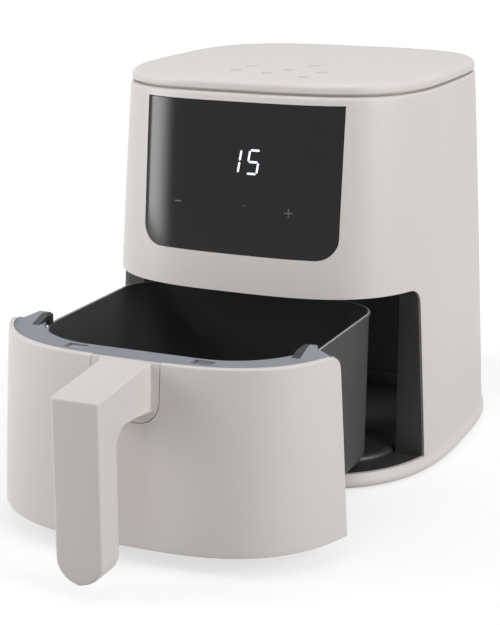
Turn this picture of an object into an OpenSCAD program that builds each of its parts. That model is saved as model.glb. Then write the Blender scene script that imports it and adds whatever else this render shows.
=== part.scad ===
// Drawer air fryer: tapered shell, touch lid, glass display, pull-out pan, fan and heater.
// Frame: +Z up, front (display and drawer) at -Y, Z = 0 on the table, X = Y = 0 under the
// middle of the whole object with its drawer pulled out by drawer_pull, as it is drawn.
// The modules are written about the middle of the housing, and placed() moves them.

/* [Housing] */
// Height from the table to the top of the lid
body_h = 300; // [285:1:330]
// Width at the foot of the shell
base_w = 278; // [268:1:300]
// Depth at the foot of the shell
base_d = 314; // [304:1:335]
// Width at the top of the shell
top_w = 244; // [236:1:264]
// Depth at the top of the shell
top_d = 262; // [252:1:284]
// Outward bow of the front and back half way up
belly = 2.5; // [0:0.5:4]
// Roundness exponent of the plan at the foot (2 is an ellipse)
base_round = 2.9; // [2.6:0.1:3.4]
// Roundness exponent of the plan at the top
top_round = 3.4; // [2.8:0.1:3.8]
// Wall of the moulded shell
shell_t = 2.6; // [2:0.2:3.4]
// Radius of the shell's top edge
shell_edge = 2.4; // [1.5:0.1:3]
// Height of the feet under the shell
foot_h = 1.4; // [1.2:0.1:3]
// Diameter of each foot
foot_d = 18; // [12:1:24]
// Outward flare of the shell just above its rounded lower edge
flare = 1.5; // [0:0.1:2]
// Thickness of the base plate
base_t = 2.4; // [1.8:0.2:3.2]

/* [Lid] */
// Thickness of the lid
lid_h = 8; // [6:0.5:11]
// Height of the shadow groove under the lid
groove_h = 1.8; // [1.2:0.1:3]
// Depth of the shadow groove
groove_d = 5; // [3:0.5:8]
// Set-back of the lid's rim from the shell's top edge
lid_inset = 0.8; // [0:0.2:2]

/* [Display] */
// Width of the glass
glass_w = 157; // [120:1:168]
// Height of the glass
glass_h = 111; // [90:1:116]
// Distance of the glass below the shell's top edge
glass_drop = 6; // [4:0.5:12]
// Radius of the glass's lower corners
glass_r = 16; // [6:1:24]
// Thickness of the glass
glass_t = 2.2; // [1.6:0.1:2.4]
// Reveal round the glass
glass_gap = 0.5; // [0.3:0.1:0.8]

/* [Drawer opening] */
// Lower edge of the opening above the table
open_low = 12.8; // [11.5:0.2:18]
// Height of the opening
open_h = 132.6; // [126:0.2:138]
// Distance of the opening's side edges in front of the centre
open_y = 80; // [70:1:90]
// Radius of the opening's upper corners
open_r = 11; // [6:1:16]
// Reveal above the closed drawer front
gap_top = 4.4; // [3:0.1:5]
// Reveal below and behind the closed drawer front
gap_low = 1.4; // [1:0.1:2.4]
// Width left between the cavity's wall and the shell's surface at the opening's top
flange_w = 22.5; // [21.5:0.5:27.5]
// Sheet of the cavity liner
liner_t = 1.6; // [1.2:0.1:2.2]

/* [Drawer] */
// How far the drawer stands out
drawer_pull = 167; // [60:1:172]
// Wall of the drawer front
front_t = 3; // [2.4:0.1:3.6]
// Depth of the top frame behind the drawer front
frame_band = 23; // [17:1:25]
// Thickness of the frame's top
frame_t = 3.2; // [2.4:0.2:4]
// Set-back of the frame below the drawer front's top edge
frame_drop = 1.6; // [1:0.1:2]
// Clearance of the guide lugs under the opening's top
lug_gap = 1.4; // [1:0.1:2]
// Drop from the frame's top to the pan's rim
rim_drop = 4.4; // [3:0.1:6]
// Clearance between the pan's rim and the cavity's side walls
pan_side = 7; // [5:0.5:12]
// Length of the pan
pan_len = 188; // [150:1:190]
// Radius of the pan's back corners
pan_r = 30; // [24:1:44]
// Radius of the pan's front corners
pan_front_r = 60; // [40:1:70]
// Sheet of the pan
pan_t = 1.6; // [1.2:0.1:2]
// Sideways draft of the pan from rim to bottom
pan_draft = 1.5; // [1:0.5:6]
// Running clearance under the pan
pan_gap = 0.3; // [0.2:0.1:0.8]
// Height of the crisper tray above the pan's bottom
tray_lift = 12; // [8:1:20]
// Diameter of the tray's holes
tray_hole = 7; // [4:0.5:9]

/* [Handle] */
// Width of the grip
grip_w = 34; // [28:1:40]
// Thickness of the grip from front to back
grip_t = 24; // [18:1:28]
// Length of the grip
grip_len = 130; // [90:1:132]
// How far the grip's face stands in front of the drawer
grip_out = 67; // [56:1:70]
// Height of the neck at the plate
neck_h = 31; // [24:1:34]
// Width of the flush mounting plate
plate_w = 50; // [46:1:58]
// Height of the flush mounting plate
plate_h = 41; // [38:1:46]

/* [Fan and heater] */
// Distance of the fan's axis in front of the centre
fan_y = 50; // [44:1:54]
// Diameter of the convection fan
fan_d = 96; // [80:1:100]
// Diameter of the cooling fan
cool_d = 94; // [80:1:98]
// Diameter of the motor shaft
shaft_d = 6; // [5:0.5:8]
// Diameter of the motor
motor_d = 56; // [48:1:64]
// Height of the motor
motor_h = 34; // [26:1:40]
// Outer radius of the reflector
dome_r = 80; // [76:1:82]
// Diameter of the heating tube
tube_d = 6.6; // [5:0.2:8]

/* [Hidden] */

// Finishes
cream = [0.84, 0.81, 0.78];
cream_dark = [0.74, 0.70, 0.66];
black = [0.09, 0.09, 0.10];
graphite = [0.24, 0.25, 0.27];
steel = [0.72, 0.72, 0.74];
board = [0.10, 0.32, 0.18];

// Resolution of the moulded plan, of the pan's corners and of round parts
plan_segs = 80;
corner_segs = 12;
$fn = 48;

// Clearance between pieces that are clipped or screwed together
seat = 0.2;
// Radial clearance of a shaft in its bearing
running = 0.05;
// Overshoot of a cutting solid past the face that it cuts
over = 1;

// Heights of the main levels
shell_top = body_h - lid_h - groove_h;
open_top = open_low + open_h;
deck_z = open_top + 1;
deck_t = 2;
floor_t = 2;
floor_z = open_low - 0.3;
sill_h = 3.6;
sill_root = 1;
front_low = open_low + gap_low;
front_top = open_top - gap_top;
front_back = open_y + gap_low;
frame_top = front_top - frame_drop;
pan_low = floor_z + sill_h + pan_gap;
rim_top = frame_top - rim_drop;
lug_h = open_top - lug_gap - frame_top;
glass_top = shell_top - glass_drop;
glass_low = glass_top - glass_h;

// Plan of the shell, as a superellipse whose size and roundness change with height
function mix(a, b, t) = a + (b - a) * t;
function rise(z) = (z - foot_h) / (shell_top - foot_h);
function half_x(z) = mix(base_w, top_w, rise(z)) / 2;
function half_y(z) = mix(base_d, top_d, rise(z)) / 2 + 4 * belly * rise(z) * (1 - rise(z));
function roundness(z) = mix(base_round, top_round, rise(z));
function power(v, n) = sign(v) * pow(abs(v), 2 / n);
function plan_ring(plan_z, z, inset) = [for (i = [0 : plan_segs - 1])
  let (t = 360 * i / plan_segs, n = roundness(plan_z))
  [(half_x(plan_z) - inset) * power(cos(t), n), (half_y(plan_z) - inset) * power(sin(t), n), z]];
cavity_x = half_x(open_top) - flange_w;
pan_x = cavity_x - pan_side;

// Distance of the front face in front of the centre, at height z and half width x
function front_y(z, x, inset) = (half_y(z) - inset)
  * pow(1 - pow(abs(x) / (half_x(z) - inset), roundness(z)), 1 / roundness(z));

// Closed solid through a stack of rings with equal counts, lowest ring first
module loft(rings) {
  n = len(rings[0]);
  last = n * (len(rings) - 1);
  sides = [for (k = [0 : len(rings) - 2]) for (i = [0 : n - 1])
    let (a = k * n + i, b = k * n + (i + 1) % n) each [[a, a + n, b], [b, a + n, b + n]]];
  bottom = [[for (i = [0 : n - 1]) i]];
  top = [[for (i = [n - 1 : -1 : 0]) last + i]];
  polyhedron(points = [for (r = rings) each r], faces = concat(bottom, sides, top), convexity = 8);
}

// Solid of the shell's own form between the given [height, inset] pairs
module body_form(levels) {
  loft([for (l = levels) plan_ring(l[0], l[0], l[1])]);
}

// Heights at which the tapered form is followed between two levels
function steps(z0, z1, count, inset) = [for (i = [0 : count]) [mix(z0, z1, i / count), inset]];

// Level sheet of the shell's form
module body_sheet(z0, z1, inset) {
  body_form([[z0, inset], [z1, inset]]);
}

// Flat rectangle with round corners, made from squares and circles
module round_rect(w, h, r) {
  square([w - 2 * r, h], center = true);
  square([w, h - 2 * r], center = true);
  for (x = [-1, 1], y = [-1, 1]) translate([x * (w / 2 - r), y * (h / 2 - r)]) circle(r);
}

// Side profile of the drawer opening, shrunk by the reveals and cut across the whole width
module opening_prism(low, top, back, r) {
  reach = base_d;
  rotate([90, 0, 90])
    translate([0, 0, -base_w])
      linear_extrude(2 * base_w) {
        translate([-back - reach, low]) square([reach, top - low - r]);
        translate([-back - reach, low]) square([reach - r, top - low]);
        translate([-back - r, top - r]) circle(r);
      }
}

// Window of the display: square upper corners, round lower corners
module window_prism(grow, reach) {
  w = glass_w / 2 + grow;
  r = glass_r + grow;
  low = glass_low - grow;
  translate([0, -reach, 0])
    rotate([90, 0, 0])
      linear_extrude(base_d) {
        translate([-w, low + r]) square([2 * w, glass_h + 2 * grow - r]);
        translate([-w + r, low]) square([2 * (w - r), r + 0.01]);
        for (x = [-1, 1]) translate([x * (w - r), low + r]) circle(r);
      }
}

// Flush plate of the handle in the drawer front: open at the top, round lower corners
module plate_prism(grow) {
  w = plate_w / 2 + grow;
  r = 15 + grow;
  low = front_top - plate_h - grow;
  translate([0, -open_y, 0])
    rotate([90, 0, 0])
      linear_extrude(base_d) {
        translate([-w, low + r]) square([2 * w, plate_h + over]);
        translate([-w + r, low]) square([2 * (w - r), r + 0.01]);
        for (x = [-1, 1]) translate([x * (w - r), low + r]) circle(r);
      }
}

// Moves a piece of the housing so that the whole object's middle comes to Y = 0
module placed() {
  front_reach = drawer_pull + front_y(front_top, 0, 0) + grip_out;
  back_reach = front_y(gland_z, gland_x, 0) + gland_out;
  translate([0, (front_reach - back_reach) / 2, 0]) children();
}

// Everything on the drawer is drawn closed and moved out together
module drawer_place() {
  placed() translate([0, -drawer_pull, 0]) children();
}

// Four corner places round the middle of the feet
foot_x = base_w / 2 - 44;
foot_y = base_d / 2 - 50;
module at_feet() {
  for (x = [-foot_x, foot_x], y = [-foot_y, foot_y]) translate([x, y, 0]) children();
}

// ---------- housing ----------

// Air outlet in the back wall
outlet_w = 104;
outlet_h = 46;
outlet_z = deck_z + 50;
// Cord entry low in the back wall
gland_x = 60;
gland_z = 40;
gland_d = 13;
// How far the gland stands out behind the wall
gland_out = 11;

module housing_shell() {
  color(cream) placed() difference() {
    body_form(concat([[foot_h, 2], [foot_h + 1, 0.2], [foot_h + 2.4, -0.8 * flare], [foot_h + 3.8, -flare],
      [foot_h + 6.6, -0.6 * flare], [foot_h + 9.6, -0.2 * flare]],
      steps(foot_h + 12.6, shell_top - shell_edge, 6, 0),
      [[shell_top - 0.3 * shell_edge, 0.3 * shell_edge], [shell_top, shell_edge]]));
    body_form(steps(foot_h - over, shell_top - shell_t, 5, shell_t));
    body_form([[shell_top - shell_t - over, 16], [shell_top + over, 16]]);
    opening_prism(open_low, open_top, open_y, open_r);
    window_prism(0, open_y);
    translate([-outlet_w / 2, open_y, outlet_z - outlet_h / 2]) cube([outlet_w, base_d, outlet_h]);
    translate([gland_x, open_y, gland_z]) rotate([-90, 0, 0]) cylinder(h = base_d, d = gland_d);
  }
}

// Screws of the base plate, set in from the feet
screw_in = 20;
screw_front = foot_y - 26;
screw_back = foot_y - 50;
module at_base_screws() {
  for (x = [-1, 1], y = [-screw_front, screw_back]) translate([x * (foot_x - screw_in), y, foot_h])
    children();
}

module base_plate() {
  slot_w = 3;
  slot_l = 60;
  slot_y = 30;
  slot_pitch = 9;
  color(cream_dark) placed() difference() {
    union() {
      body_sheet(foot_h, foot_h + base_t, shell_t + seat);
      // Posts that carry the cavity's floor
      at_base_screws() cylinder(h = floor_z - floor_t - foot_h, d = 10);
    }
    at_feet() cylinder(h = 30, d = 5.2);
    at_base_screws() translate([0, 0, -over]) cylinder(h = 30, d = 3.4);
    at_base_screws() translate([0, 0, -over]) cylinder(h = 1.6 + over, d = 7.2);
    for (i = [-5 : 5]) translate([i * slot_pitch - slot_w / 2, slot_y, 0]) cube([slot_w, slot_l, 20]);
  }
}

module feet() {
  color(black) placed() at_feet() rotate_extrude()
    polygon([[0, 0], [foot_d / 2 - 1, 0], [foot_d / 2, 1], [foot_d / 2, foot_h],
      [2.5, foot_h], [2.5, foot_h + base_t + 0.2], [3.6, foot_h + base_t + 0.2],
      [2.4, foot_h + base_t + 2.4], [0, foot_h + base_t + 2.4]]);
}

// Countersunk screws from below, up into the cavity's floor
module base_screws() {
  color(steel) placed() at_base_screws() {
    translate([0, 0, 0.2]) cylinder(h = 1.4, d = 6.6);
    translate([0, 0, 0.2]) cylinder(h = floor_z - foot_h - sill_root - 0.4, d = 3);
  }
}

module top_lid() {
  low = body_h - lid_h;
  levels = [[low, 3.2], [low + 0.5, 1.4], [low + 1.8, 0], [body_h - 3, 0], [body_h - 1.4, 0.7],
    [body_h - 0.4, 2], [body_h, 4]];
  color(cream) placed() loft([for (l = levels) plan_ring(shell_top, l[0], lid_inset + l[1])]);
}

module lid_ring() {
  color(cream_dark) placed() difference() {
    loft([for (z = [shell_top, body_h - lid_h]) plan_ring(shell_top, z, groove_d + lid_inset)]);
    loft([for (z = [shell_top - over, body_h]) plan_ring(shell_top, z, groove_d + 8)]);
  }
}

// Key board under the lid, with the sensing pads of the preset keys
key_w = 150;
key_d = 90;
module touch_board() {
  color(board) placed() translate([0, -fan_y, body_h - lid_h - 1.8])
    linear_extrude(1.6) round_rect(key_w, key_d, 4);
}

module display_glass() {
  color(black) placed() intersection() {
    difference() {
      body_form(steps(glass_low - 4, glass_top + 3, 3, 0));
      body_form(steps(glass_low - 6, glass_top + 5, 3, glass_t));
    }
    window_prism(-glass_gap, open_y);
  }
}

// Black carrier clipped behind the window: it holds the glass and the control board
board_y = half_y(glass_low) - shell_t - 23;
board_low = glass_low + 8;
board_h = glass_h - 16;
board_w = 132;
module display_frame() {
  front = shell_t + seat;
  color(black) placed() {
    difference() {
      intersection() {
        difference() {
          body_form(steps(glass_low - 6, glass_top + 3, 2, front));
          body_form(steps(glass_low - 8, glass_top + 5, 2, front + 2.2));
        }
        window_prism(4, open_y);
      }
      translate([led_x - led_w / 2 - 0.4, -base_d, led_z - led_h / 2 - 0.4])
        cube([led_w + 0.8, base_d, led_h + 0.8]);
    }
    // Posts back to the control board
    for (x = [-1, 1], z = [board_low + 6, board_low + board_h - 6])
      translate([x * (board_w / 2 - 6), -board_y, z]) rotate([90, 0, 0])
        cylinder(h = front_y(z, board_w / 2 - 6, front + 1) - board_y, d = 6);
  }
}

// Three-digit seven-segment module behind the glass
led_w = 44;
led_h = 24;
led_x = 6;
led_z = glass_low + 70;
module led_module() {
  depth = half_y(led_z) - shell_t - seat - board_y - 2.4;
  color(graphite) placed() translate([led_x - led_w / 2, -board_y - depth, led_z - led_h / 2])
    cube([led_w, depth, led_h]);
}

module control_board() {
  color(board) placed() translate([0, -board_y, board_low + board_h / 2]) rotate([-90, 0, 0])
    linear_extrude(1.6) round_rect(board_w, board_h, 2);
}

// Mains and relay board on stand-offs behind the motor
power_y = 82;
power_w = 110;
power_l = 56;
module power_board() {
  lift = 6;
  color(board) placed() translate([0, power_y, deck_z + deck_t + lift])
    linear_extrude(1.6) square([power_w, power_l], center = true);
  color(black) placed() for (x = [-1, 1], y = [-1, 1])
    translate([x * (power_w / 2 - 5), power_y + y * (power_l / 2 - 5), deck_z + deck_t])
      cylinder(h = lift, d = 6);
  // Relay, transformer and capacitor
  color(graphite) placed() translate([-46, power_y - 20, deck_z + deck_t + lift + 1.6]) cube([18, 28, 15]);
  color(graphite) placed() translate([-16, power_y - 18, deck_z + deck_t + lift + 1.6]) cube([24, 30, 18]);
  color(steel) placed() translate([28, power_y, deck_z + deck_t + lift + 1.6]) cylinder(h = 20, d = 13);
}

// Black cavity: a floor moulding, a wall liner with a front flange, and a deck above
cavity_back = 71;
ledge_d = 4;
sill_front = 132;
liner_gap = shell_t + seat;

// Floor with a raised, round-edged part on which the pan slides
module cavity_floor() {
  color(black) placed() {
    difference() {
      body_sheet(floor_z - floor_t, floor_z, liner_gap);
      at_base_screws() cylinder(h = floor_z - foot_h, d = 3);
    }
    loft([for (l = [[-sill_root, 0], [1, 0], [2.4, 0.7], [sill_h - 0.4, 1.8], [sill_h, 3]])
      sill_ring(floor_z + l[0], l[1])]);
  }
}

// Side and back walls in one strip, with a flange out to the shell and a ledge across the back
module cavity_liner() {
  color(black) placed() {
    difference() {
      translate([0, 0, floor_z]) linear_extrude(deck_z - floor_z) difference() {
        wall_outline(cavity_x + liner_t, cavity_back + liner_t, 22 + liner_t);
        wall_outline(cavity_x, cavity_back, 22);
        translate([0, -open_y - over / 2]) square([2 * cavity_x, over], center = true);
      }
      opening_prism(floor_z - over, deck_z + over, open_y, 1);
    }
    difference() {
      intersection() {
        body_form(steps(floor_z, deck_z, 3, liner_gap));
        translate([-base_w, -open_y, floor_z]) cube([2 * base_w, 2, deck_z - floor_z]);
      }
      translate([-cavity_x, -base_d, floor_z - over]) cube([2 * cavity_x, base_d, base_d]);
      translate([switch_x, -open_y - over, switch_z]) rotate([-90, 0, 0]) cylinder(h = 6, d = 4);
    }
    translate([-cavity_x, cavity_back - ledge_d, floor_z + 12]) cube([2 * cavity_x, ledge_d, 3]);
  }
}

// Deck with the round mouth of the heat chamber
module cavity_deck() {
  color(black) placed() difference() {
    body_sheet(deck_z, deck_z + deck_t, liner_gap);
    translate([0, -fan_y, deck_z - over]) cylinder(h = deck_t + 2 * over, r = dome_r - 6);
  }
}

// Plan of the raised floor: bowed front, nearly square back
function sill_ring(z, inset) = [for (i = [0 : plan_segs - 1])
  let (t = 360 * i / plan_segs, back = sin(t) > 0, n = back ? 7 : 2.6, cy = -64,
    reach = back ? cavity_back - ledge_d - cy : sill_front + cy)
  [(cavity_x - 2 - inset) * power(cos(t), n), cy + (reach - inset) * power(sin(t), n), z]];

// Plan of the cavity: straight sides, round back corners
module wall_outline(hx, back, r) {
  translate([-hx, -open_y]) square([2 * hx, open_y + back - r]);
  translate([-hx + r, back - r - 0.01]) square([2 * (hx - r), r + 0.01]);
  for (x = [-1, 1]) translate([x * (hx - r), back - r]) circle(r);
}

// ---------- heater and fan ----------

dome_h = 29;
dome_z = deck_z + deck_t;
dome_top = dome_z + dome_h;
element_z = dome_z + 6;
module at_fan() {
  placed() translate([0, -fan_y, 0]) children();
}

// Bright dome that throws the heat down, flanged onto the deck
module reflector() {
  t = 1;
  color(steel) at_fan() difference() {
    translate([0, 0, dome_z]) rotate_extrude($fn = 72)
      polygon([[dome_r - 6, 0], [dome_r + 5, 0], [dome_r + 5, t], [dome_r - 5, t],
        [dome_r - 11, dome_h - 4], [dome_r - 15, dome_h], [shaft_d / 2 + 3, dome_h],
        [shaft_d / 2 + 3, dome_h - t], [dome_r - 15.5, dome_h - t],
        [dome_r - 12, dome_h - 4.6]]);
    at_pins() translate([0, 0, dome_top - 3]) cylinder(h = 6, d = tube_d + 2);
    at_probe() translate([0, 0, dome_top - 3]) cylinder(h = 6, d = 4.4);
  }
}

// Places of the heater's two cold pins, beyond the fan's reach
element_r = dome_r - 24;
pin_turns = [5, 20];
module at_pins() {
  for (a = pin_turns) rotate([0, 0, a]) translate([element_r, 0, 0]) children();
}

// Two-turn sheathed heater with a return bend and two cold pins up through the dome
module heating_element() {
  turn_r = 8.5;
  inner = element_r - 2 * turn_r;
  color(graphite) at_fan() translate([0, 0, element_z]) {
    rotate([0, 0, pin_turns[1]]) rotate_extrude(angle = 340 - pin_turns[1])
      translate([element_r, 0]) circle(d = tube_d, $fn = 24);
    rotate([0, 0, pin_turns[0]]) rotate_extrude(angle = 340 - pin_turns[0])
      translate([inner, 0]) circle(d = tube_d, $fn = 24);
    rotate([0, 0, -20]) {
      translate([element_r - turn_r, 0]) rotate_extrude(angle = 180, $fn = 32)
        translate([turn_r, 0]) circle(d = tube_d, $fn = 24);
      // Crimped sleeves where the return bend meets the turns
      for (x = [inner, element_r]) translate([x, -4, 0]) rotate([-90, 0, 0])
        cylinder(h = 8, d = tube_d + 1, $fn = 24);
    }
    rotate([0, 0, pin_turns[0]]) translate([inner - tube_d / 2 - 0.2, 0, 0]) rotate([0, 90, 0])
      cylinder(h = element_r - inner + 1, d = tube_d + 0.8, $fn = 24);
    at_pins() translate([0, 0, -tube_d / 2 - 0.6])
      cylinder(h = dome_top + 3.4 - element_z + tube_d / 2 + 0.6, d = tube_d + 1, $fn = 24);
  }
}

// Wire guard under the heater: rings with straight wires welded on top, hooked into the deck
module element_guard() {
  wire = 2;
  ring = dome_r - 7.4;
  color(steel) at_fan() translate([0, 0, deck_z + wire / 2]) {
    for (r = [18, 36, 54, ring]) rotate_extrude() translate([r, 0]) circle(d = wire, $fn = 16);
    for (a = [0, 90]) rotate([0, 0, a]) translate([-ring + 0.9, 0, 0.7 * wire]) rotate([0, 90, 0])
      cylinder(h = 2 * ring - 1.8, d = wire, $fn = 16);
  }
}

module at_probe() {
  rotate([0, 0, 200]) translate([dome_r - 24, 0, 0]) children();
}

// Probe through the dome's top
module temperature_probe() {
  color(steel) at_fan() at_probe() {
    translate([0, 0, dome_top - 12]) cylinder(h = 20, d = 4);
    translate([0, 0, dome_top + 0.1]) cylinder(h = 2, d = 9);
  }
}

// Fuse clipped on top of the dome
module thermal_fuse() {
  color(cream_dark) at_fan() rotate([0, 0, 120]) translate([dome_r - 25, 0, dome_top + 2.5]) {
    rotate([90, 0, 0]) cylinder(h = 14, d = 4.6, center = true);
    translate([-4, -3, -2.4]) cube([8, 6, 2]);
  }
}

bracket_z = dome_top + 19;
bracket_t = 1.6;
leg_r = dome_r + 10;
leg_turns = [25, 155, 205, 335];
motor_z = bracket_z + bracket_t;
// Four-legged sheet bridge over the dome that carries the motor
module motor_bracket() {
  hole = 26;
  color(steel) at_fan() difference() {
    union() {
      translate([0, 0, bracket_z]) cylinder(h = bracket_t, d = motor_d + 22);
      for (a = leg_turns) rotate([0, 0, a]) {
        translate([30, -6, bracket_z]) cube([leg_r - 30 + 1, 12, bracket_t]);
        translate([leg_r - bracket_t + 1, -6, dome_z]) cube([bracket_t, 12, bracket_z - dome_z + 1]);
        translate([leg_r - bracket_t + 1, -6, dome_z]) cube([12, 12, bracket_t]);
      }
    }
    translate([0, 0, bracket_z - over]) cylinder(h = 6, d = hole);
    at_motor_screws() translate([0, 0, bracket_z - over]) cylinder(h = 6, d = 3.3);
  }
}

module at_motor_screws() {
  for (a = [0 : 90 : 270]) rotate([0, 0, a]) translate([motor_d / 2 - 8, 0, 0]) children();
}

module motor_screws() {
  color(graphite) at_fan() at_motor_screws() translate([0, 0, bracket_z - 2]) {
    cylinder(h = 2, d = 5.6);
    cylinder(h = bracket_t + 5, d = 3);
  }
}

// Shaded-pole style can with a bearing bush at each end
module fan_motor() {
  color(steel) at_fan() difference() {
    union() {
      translate([0, 0, motor_z]) cylinder(h = motor_h, d = motor_d);
      translate([0, 0, motor_z + motor_h]) cylinder(h = 5, d = 16);
      translate([0, 0, motor_z - 4]) cylinder(h = 4, d = 16);
    }
    translate([0, 0, motor_z - 5]) cylinder(h = motor_h + 12, d = shaft_d + 2 * running);
    at_motor_screws() translate([0, 0, motor_z - over]) cylinder(h = 6, d = 3);
  }
}

fan_z = element_z + tube_d / 2 + 5;
fan_h = 10;
cool_z = dome_top + 5.5;
cool_h = 8;
module motor_shaft() {
  color(steel) at_fan() translate([0, 0, fan_z - 5])
    cylinder(h = motor_z + motor_h + 4 - fan_z + 5, d = shaft_d);
}

// Flat paddle fan: hub, disc and radial blades
module paddle_fan(d, h, blades, disc_t) {
  hub_d = 16;
  difference() {
    union() {
      cylinder(h = h, d = hub_d);
      translate([0, 0, h - disc_t]) cylinder(h = disc_t, d = d * 0.62);
      for (i = [0 : blades - 1]) rotate([0, 0, 360 * i / blades])
        translate([hub_d / 2 - 1, -0.6, 0]) cube([d / 2 - hub_d / 2 + 1, 1.2, h]);
    }
    translate([0, 0, -over]) cylinder(h = h + 2 * over, d = shaft_d);
  }
}

module convection_fan() {
  color(steel) at_fan() translate([0, 0, fan_z]) paddle_fan(fan_d, fan_h, 8, 1);
}

module cooling_fan() {
  color(graphite) at_fan() translate([0, 0, cool_z]) paddle_fan(cool_d, cool_h, 9, 1.4);
}

module fan_nut() {
  color(steel) at_fan() translate([0, 0, fan_z - 3.6]) difference() {
    cylinder(h = 3.6, d = 11, $fn = 6);
    translate([0, 0, -over]) cylinder(h = 6, d = shaft_d);
  }
}

// ---------- back ----------

// Curved louvre clipped behind the outlet: a flange and sloped slats
module rear_grille() {
  slats = 7;
  pitch = outlet_h / slats;
  flange_w = 5;
  low = outlet_z - outlet_h / 2;
  color(black) placed() {
    intersection() {
      body_band(low - 10, low + outlet_h + 10, shell_t + seat, shell_t + 1.8);
      translate([0, open_y, outlet_z]) rotate([-90, 0, 0]) linear_extrude(base_d) difference() {
        square([outlet_w + 2 * flange_w, outlet_h + 2 * flange_w], center = true);
        square([outlet_w - 4, outlet_h - 4], center = true);
      }
    }
    intersection() {
      body_band(low - 10, low + outlet_h + 10, 1, shell_t + 1.8);
      union() {
        for (i = [1 : slats - 1]) translate([-outlet_w / 2 + seat, half_y(outlet_z), low + i * pitch])
          rotate([-30, 0, 0]) translate([0, -20, 0]) cube([outlet_w - 2 * seat, 40, 1.4]);
        for (x = [-outlet_w / 6, outlet_w / 6]) translate([x - 1, open_y, low + seat])
          cube([2, base_d, outlet_h - 2 * seat]);
        for (x = [-1, 1]) translate([x * (outlet_w / 2 - seat - 1) - 1, open_y, low + seat])
          cube([2, base_d, outlet_h - 2 * seat]);
      }
    }
  }
}

// Part of the shell's wall between two depths under its surface, open at top and bottom
module body_band(z0, z1, outer, inner) {
  difference() {
    body_form(steps(z0, z1, 1, outer));
    body_form(steps(z0 - over, z1 + over, 1, inner));
  }
}

// Moulded bush of the mains lead, without the lead
module cord_gland() {
  flange_r = gland_d / 2 + 2.5;
  flange_y = front_y(gland_z + flange_r, gland_x + flange_r, shell_t) - 0.1;
  taper_h = 7;
  barrel = front_y(gland_z, gland_x, 0) - flange_y + gland_out - taper_h;
  color(black) placed() translate([gland_x, flange_y, gland_z]) rotate([-90, 0, 0]) difference() {
    union() {
      translate([0, 0, -2.4]) cylinder(h = 2.4, r = flange_r);
      translate([0, 0, -2.4]) cylinder(h = barrel + 2.4, d = gland_d - 0.4);
      translate([0, 0, barrel]) cylinder(h = taper_h, d1 = gland_d - 0.4, d2 = gland_d - 4);
    }
    translate([0, 0, -4]) cylinder(h = 50, d = 7.4);
  }
}

// ---------- drawer switch ----------

switch_w = 6.8;
switch_gap = 4.5;
switch_x = -cavity_x - liner_t - switch_gap - switch_w / 2;
switch_z = 122;
module drawer_switch() {
  color(graphite) placed() difference() {
    translate([switch_x - switch_w / 2, -open_y + 2, switch_z - 10]) cube([switch_w, 16, 20]);
    translate([switch_x, -open_y + 1, switch_z]) rotate([-90, 0, 0])
      cylinder(h = 12, d = 3 + 2 * running);
  }
}

module switch_plunger() {
  color(cream_dark) placed() translate([switch_x, -front_back + 0.4, switch_z]) rotate([-90, 0, 0])
    cylinder(h = 8, d = 3);
}

// ---------- drawer ----------

// Curved front with wings round both corners, cut out for the handle plate
module drawer_front() {
  top = front_top;
  color(cream) drawer_place() difference() {
    intersection() {
      difference() {
        body_form(concat(steps(front_low, top - 1.4, 4, 0), [[top - 0.4, 0.4], [top, 1.3]]));
        body_form(steps(front_low - over, top + over, 4, front_t));
      }
      opening_prism(front_low, top + over, front_back, open_r);
    }
    plate_prism(0.5);
    front_corner_cut();
  }
}

// Rounds the upper back corners of the wings to match the opening
module front_corner_cut() {
  r = open_r - gap_low;
  rotate([90, 0, 90]) translate([0, 0, -base_w]) linear_extrude(2 * base_w) difference() {
    translate([-front_back - r, front_top - r]) square([r + over, r + over]);
    translate([-front_back - r, front_top - r]) circle(r);
  }
}

// Line that the frame's inner edge and the pan's rim follow
pan_front = front_y(front_top, 0, front_t) - frame_band;
pan_cy = -pan_front + pan_len / 2;
module pan_outline(grow) {
  x = pan_x + grow;
  y = pan_len / 2 + grow;
  back_r = pan_r + grow;
  front_r = pan_front_r + grow;
  translate([0, pan_cy]) {
    translate([-x, front_r - y]) square([2 * x, 2 * y - front_r - back_r]);
    translate([front_r - x, -y]) square([2 * (x - front_r), front_r + 1]);
    translate([back_r - x, y - back_r - 1]) square([2 * (x - back_r), back_r + 1]);
    for (s = [-1, 1]) {
      translate([s * (x - front_r), front_r - y]) circle(front_r);
      translate([s * (x - back_r), y - back_r]) circle(back_r);
    }
  }
}

// The same line as a ring of points at height z, drawn in by i
function pan_ring(i, z) = [for (q = [0 : 3]) for (k = [0 : corner_segs])
  let (a = 90 * q + 90 * k / corner_segs, sx = (q == 0 || q == 3) ? 1 : -1, sy = q < 2 ? 1 : -1,
    r = max((q < 2 ? pan_r : pan_front_r) - i, 4))
  [sx * (pan_x - i - r) + r * cos(a), pan_cy + sy * (pan_len / 2 - i - r) + r * sin(a), z]];

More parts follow.
